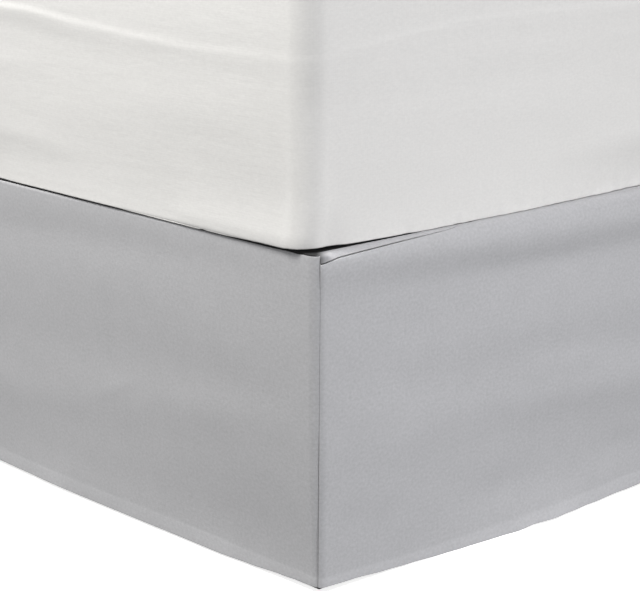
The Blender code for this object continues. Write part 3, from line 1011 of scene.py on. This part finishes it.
# Ridge round the side where the padding changes, height over the underside, and how far
# it stands out; the lower edge, how far it lies inside the side face, and how far it is lifted
RidgePoint = namedtuple("RidgePoint", "along height rise")
EdgePoint = namedtuple("EdgePoint", "along inward lift lip", defaults=[0])
footRidge = tableOf(
    RidgePoint,
    (0, 202, 0.2),
    (0.06, 202, 0.5),
    (0.19, 200, 0.7),
    (0.28, 203, 0.9),
    (0.38, 208, 1.2),
    (0.52, 217, 1.6),
    (0.9, 221, 1),
    (1.5, 205, 0.4),
)
rightRidge = tableOf(
    RidgePoint,
    (0, 202, 0.2),
    (0.08, 213, 0.5),
    (0.14, 219, 0.6),
    (0.24, 227, 0.6),
    (0.53, 224, 0.7),
    (1.1, 212, 0.9),
    (2, 206, 0.4),
)
footEdge = tableOf(
    EdgePoint,
    (0, -0.4, 4),
    (0.005, -0.8, 3.8),
    (0.01, -1.2, 3.3),
    (0.02, -1.2, 2.5),
    (0.03, -1.2, 1.2),
    (0.04, -1.1, 0.9),
    (0.065, -0.9, 0.8),
    (0.085, -0.5, 0.4),
    (0.105, -0.2, 0.2, 0.2),
    (0.13, 0, 0, 0.45),
    (0.163, 0.4, 0, 0.5),
    (0.17, 0.3, 0, 0.2),
    (0.178, 0.6, 0, 0.6),
    (0.23, 0.6, 0, 0.6),
    (0.3, 0.5, 0, 0.35),
    (0.34, 0, 0),
    (0.53, 1.8, 0),
    (0.6, 4.4, 0),
    (0.9, 1.5, 0),
    (1.5, 0, 0),
)
rightEdge = tableOf(
    EdgePoint,
    (0, -0.4, 4),
    (0.005, 0, 4),
    (0.01, 0, 3.8),
    (0.02, 0, 3.5),
    (0.035, 0, 3),
    (0.055, 0, 2),
    (0.09, 0, 1.5),
    (0.13, 0, 0.9),
    (0.17, 0, 0),
    (0.33, -0.9, 0),
    (0.41, 1.3, 0),
    (0.46, 3.4, 0),
    (0.55, 7.4, 0),
    (0.7, 8, 0),
    (1.2, 3, 0),
    (2, 5, 0),
)
coverFolds = tableOf(
    Fold,
    (0.3, 120, 160, 30, -4, 0.6),
    (0.5, 60, 120, 16, 3, 0.7),
    (0.56, 150, 70, 12, -3, 0.6),
    (0.12, 140, 90, 40, 6, 0.5),
    (0.22, 280, 200, 26, 2, -1),
    (0.8, 100, 200, 28, 4, 1),
    (1.2, 150, 240, 30, -3, 1.2),
    (1.7, 90, 200, 26, 5, 1),
)

# Lower edge of the cover, from the underside out to the side face, in millimetres: even,
# and where its hem hangs out below in a lip
LowerRow = namedtuple("LowerRow", "inset height lipInset lipHeight")
lowerRows = tableOf(
    LowerRow,
    (5, 0, 5, 0),
    (3.8, 0, 3.6, -0.8),
    (2.6, 0, 2.7, -1.8),
    (1.6, 0.02, 1.7, -2.3),
    (0.9, 0.14, 0.8, -2.1),
    (0.45, 0.38, 0.3, -1.2),
    (0.15, 0.75, 1, -0.1),
    (0.03, 1.2, 0.3, 0.9),
    (0, 1.8, 0, 1.6),
)


def ridgeHeight(points, along, height):
    above = height - alongTable(points, "height", along) * mm
    width = np.where(above < 0, mattress["ridgeBelow"], mattress["ridgeAbove"])
    return alongTable(points, "rise", along) * mm * np.exp(-((above / width) ** 2))


def coverSwell(around, height):
    # how far the cover stands out from the even side face
    along = np.abs(around)
    flare = mattress["flare"] * np.clip(1 - height / mattress["flareHeight"], 0, 1) ** 2
    inward = (1 - ease(height / mattress["inwardHeight"])) * mm

    low = 1 - np.clip(height / mattress["bellyHeight"], 0, 1)
    belly = np.clip(1 - (height - mattress["bellyHeight"]) / mattress["flareHeight"], 0, 1) ** 2
    belly = np.where(low > 0, 1.0, belly) - mattress["bellyTurn"] * (1 - np.sqrt(1 - low**2))
    belly = belly * ease((mattress["bellyReach"] - along) / mattress["bellyFade"])
    foot = ridgeHeight(footRidge, along, height) + flare * (1 - mattress["flareTurn"] * low)
    foot = foot + mattress["belly"] * belly - mattress["sideInset"]
    foot = foot - alongTable(footEdge, "inward", along) * inward

    step = ease((height - mattress["stepHeight"]) / mattress["stepReach"])
    right = ridgeHeight(rightRidge, along, height) + mattress["paddingStep"] * step
    right = right + mattress["rightFlare"] * flare - mattress["rightInset"]
    right = right - alongTable(rightEdge, "inward", along) * inward
    pucker = noiseHeight(mattress["pucker"], along, height)
    pucker = pucker * np.exp(-((height / mattress["puckerHeight"]) ** 2))
    right = right + pucker * ease((along - mattress["puckerStart"]) / mattress["puckerFade"])

    toRight = ease(around / mattress["turnReach"] / 2 + 0.5)
    swell = foot + (right - foot) * toRight
    bulge = mattress["cornerBulge"] * np.exp(-((around / mattress["bulgeWidth"]) ** 2))
    swell = swell + bulge * (1 - ease(height / mattress["bulgeHeight"]))
    aside = (around - mattress["turnUnderPlace"]) / mattress["turnUnderWidth"]
    low = np.clip(1 - height / mattress["turnUnderHeight"], 0, 1) ** mattress["turnUnderCurve"]
    swell = swell - mattress["turnUnder"] * np.exp(-(aside**2)) * low
    crumple = noiseHeight(mattress["crumple"], around, height)
    crumple = crumple + noiseHeight(mattress["uneven"], around, height)
    bow = mattress["bow"] * np.sin(math.pi * np.clip(height / mattress["height"], 0, 1))
    swell = swell + crumple * ease(along / mattress["smoothCorner"]) + bow
    return swell + foldHeight(coverFolds, along, height)


def addMattress():
    places = boxPlaces(mattress)
    whole = boxRound(mattress)
    around = np.where(places > whole / 2, places - whole, places)[:, None]
    along = np.abs(around)
    top, radius = mattress["height"], mattress["topRadius"]
    fineLow, fineHigh = mattress["fineHeights"]
    lowStep, fineStep, highStep = mattress["heightSteps"]
    even = joinPlaces(
        mattress["lowHeights"],
        spaced(mattress["lowHeights"][-1], fineLow, lowStep),
        spaced(fineLow, fineHigh, fineStep),
        spaced(fineHigh, top - radius, highStep),
    )
    turns = np.linspace(0, math.pi / 2, mattress["turnLevels"])[1:]
    inner = mattress["topInsets"]
    crown = mattress["crown"] * ease((inner - radius) / mattress["crownReach"])

    def allInsets(lower):
        turned = radius * (1 - np.cos(turns))
        return np.concatenate([mattress["underInsets"], lower, 0 * even, turned, inner])

    def allHeights(lower):
        turned = top + radius * (np.sin(turns) - 1)
        return np.concatenate([0 * mattress["underInsets"], lower, even, turned, top + crown])

    inset, height, lipInset, lipHeight = np.array(lowerRows).T * mm
    insets, heights = allInsets(inset), allHeights(height)
    lip = np.where(around > 0, 0, alongTable(footEdge, "lip", along))
    insetGrid = insets + (allInsets(lipInset) - insets) * lip
    heightGrid = heights + (allHeights(lipHeight) - heights) * lip

    onTop = ease(insets / mattress["topFade"]) * (heights > top / 2)
    under = ease(insets / mattress["underFade"]) * (heights < top / 2)
    out = coverSwell(around, np.maximum(heights, 0)) * (1 - onTop) * (1 - under)
    rightLift, footLift = (alongTable(edge, "lift", along) for edge in (rightEdge, footEdge))
    lift = np.where(around > 0, rightLift, footLift) * mm
    lift = lift * (1 - ease(heights / mattress["liftHeight"]))
    lift = lift * (1 - ease(insets / mattress["liftInset"]))
    wrinkle = noiseHeight(mattress["wrinkle"], places[:, None], insets) * onTop
    level = ease((insets - mattress["wrinkleReach"]) / mattress["wrinkleFade"])
    heightGrid = heightGrid + lift + wrinkle * (1 - level)
    cover = addPaddedBox("mattressCover", mattress, places, insetGrid, heightGrid, out, coverCloth)
    standFor(cover, "mattress")


addMattress()
print("mattress made")


base = {
    **boxSize(baseLow, baseHigh),
    "radius": 30 * mm,
    "edgeRadius": 13 * mm,
    "fineReach": 0.10,
    "fineStep": 6 * mm,
    "arcStep": 6 * mm,
    "step": 24 * mm,
    "seamHeights": (26 * mm, 203 * mm),
    "seamDepth": 1.4 * mm,
    "seamWidth": 2.2 * mm,
    "uneven": Noise(0.7, 160, 50, 31),
    # the levels that the cover is divided into
    "turnLevels": 7,
    "seamLevels": np.array([-7, -4, -2.4, -1.2, 0, 1.2, 2.4, 4, 7]) * mm,
    "sideLevels": (40 * mm, 190 * mm, 12 * mm),
    "flatInsets": np.array([30, 60, 120, 220, 340, 460, 580, 680]) * mm,
}


def addBase():
    places = boxPlaces(base)
    radius, top = base["edgeRadius"], base["height"]
    turns = np.linspace(0, math.pi / 2, base["turnLevels"])
    lowInsets, lowHeights = radius * (1 - np.sin(turns)), radius * (1 - np.cos(turns))
    even = spaced(*base["sideLevels"])
    for seam in base["seamHeights"]:
        even += list(seam + base["seamLevels"])
    even, inner = np.sort(even), base["flatInsets"]
    insets = np.concatenate([inner[::-1], lowInsets, 0 * even, lowInsets[::-1], inner])
    heights = np.concatenate([0 * inner, lowHeights, even, top - lowHeights[::-1], top + 0 * inner])
    uneven = base["uneven"]
    out = -(uneven.depth * mm + noiseHeight(uneven, places[:, None], heights)) / 2
    for seam in base["seamHeights"]:
        out = out - base["seamDepth"] * np.exp(-(((heights - seam) / base["seamWidth"]) ** 2))
    out = out * (insets < radius)
    cover = addPaddedBox("baseCover", base, places, insets, heights, out, baseCloth)
    standFor(cover, "bed_base")


addBase()
print("base made")


# The legs keep their own meshes
for number in range(1, 7):
    leg = bpy.data.objects[f"leg_{number}"]
    for slot in leg.material_slots:
        slot.material = legWood
print("legs finished")


# Floor, lights and background
studio = {
    "floorSize": 16.0,
    "floorColor": "DCDCDC",
    # painted shadow on the floor under the bed
    "underBedShadowColor": "2C2C2C",
    "underInside": 13 * mm,
    "floorGlow": 0.75,
    "worldStrength": 0.40,
    "backStrength": 1.0,
    "aimInside": 0.25,
    "aimHeight": 0.35,
}

# Softboxes: directions from the front corner in degrees, distances and sizes in metres
Softbox = namedtuple("Softbox", "name azimuth elevation distance size power color")
softboxes = (
    Softbox("keyLeft", -17.5, 58, 3.1, 1.0, 112, "FFFEFB"),
    Softbox("keyRight", 118, 60, 5.5, 1.6, 166, "FEFDFE"),
    Softbox("fillRight", 90, -5, 1.82, 0.3, 9.1, "FCFDFF"),
    Softbox("fillBack", 225, 28, 6.0, 2.0, 130, "FFFFFF"),
)


def addFloor():
    bpy.ops.object.select_all(action="DESELECT")
    bpy.ops.mesh.primitive_plane_add(size=studio["floorSize"])
    floor = bpy.context.object
    floor.name = "floor"
    floor.visible_diffuse = False
    material, tree, shader = newMaterial("paintedFloor")
    shader.inputs["Roughness"].default_value = 1.0
    shader.inputs["Specular IOR Level"].default_value = 0.0
    shader.inputs["Emission Color"].default_value = (1, 1, 1, 1)
    # the glow stops just inside the skirt's outline, and under the bed the floor is coloured dark:
    # a painted shadow
    outline = (rimX - studio["underInside"], rimY - studio["underInside"], 0)
    place = addNode(tree, "ShaderNodeTexCoord").outputs["Object"]
    for operation, values in (("ABSOLUTE", {}), ("SUBTRACT", {1: outline})):
        settings = {"operation": operation}
        place = addNode(tree, "ShaderNodeVectorMath", settings, values, {0: place}).outputs[0]
    beyond = addNode(tree, "ShaderNodeSeparateXYZ", links={0: place}).outputs
    links = {0: beyond["X"], 1: beyond["Y"]}
    furthest = addNode(tree, "ShaderNodeMath", {"operation": "MAXIMUM"}, links=links).outputs[0]
    settings = {"operation": "GREATER_THAN"}
    outside = addNode(tree, "ShaderNodeMath", settings, {1: 0}, {0: furthest}).outputs[0]
    settings, values = {"operation": "MULTIPLY"}, {1: studio["floorGlow"]}
    glow = addNode(tree, "ShaderNodeMath", settings, values, {0: outside})
    tree.links.new(glow.outputs[0], shader.inputs["Emission Strength"])
    # painted shadow: the floor is dark under the bed
    values = {"A": linear(studio["underBedShadowColor"]), "B": linear(studio["floorColor"])}
    colors = addNode(tree, "ShaderNodeMix", {"data_type": "RGBA"}, values, {"Factor": outside})
    tree.links.new(colors.outputs["Result"], shader.inputs["Base Color"])
    floor.data.materials.append(material)


def addSoftbox(softbox):
    azimuth, elevation = math.radians(softbox.azimuth), math.radians(softbox.elevation)
    way = Vector(
        (
            math.sin(azimuth) * math.cos(elevation),
            -math.cos(azimuth) * math.cos(elevation),
            math.sin(elevation),
        )
    )
    light = bpy.data.lights.new(softbox.name, "AREA")
    light.shape = "SQUARE"
    light.size = softbox.size
    light.energy = softbox.power
    light.color = linear(softbox.color)[:3]
    lamp = bpy.data.objects.new(softbox.name, light)
    inside = studio["aimInside"]
    aim = Vector((rimX - inside, -rimY + inside, studio["aimHeight"]))
    lamp.location = aim + way * softbox.distance
    lamp.rotation_euler = way.to_track_quat("Z", "Y").to_euler()
    lamp.visible_camera = False
    bpy.context.collection.objects.link(lamp)


def addWorld():
    world = bpy.data.worlds.new("studio")
    world.use_nodes = True
    tree = world.node_tree
    tree.nodes.clear()
    soft = addNode(tree, "ShaderNodeBackground", values={"Strength": studio["worldStrength"]})
    back = addNode(tree, "ShaderNodeBackground", values={"Strength": studio["backStrength"]})
    for shade in (soft, back):
        shade.inputs["Color"].default_value = (1, 1, 1, 1)
    seen = addNode(tree, "ShaderNodeLightPath")
    mixed = addNode(
        tree,
        "ShaderNodeMixShader",
        links={0: seen.outputs["Is Camera Ray"], 1: soft.outputs[0], 2: back.outputs[0]},
    )
    addNode(tree, "ShaderNodeOutputWorld", links={"Surface": mixed.outputs[0]})
    bpy.context.scene.world = world


addFloor()
for softbox in softboxes:
    addSoftbox(softbox)
addWorld()
bpy.context.scene.view_settings.view_transform = "Standard"
print("studio made")
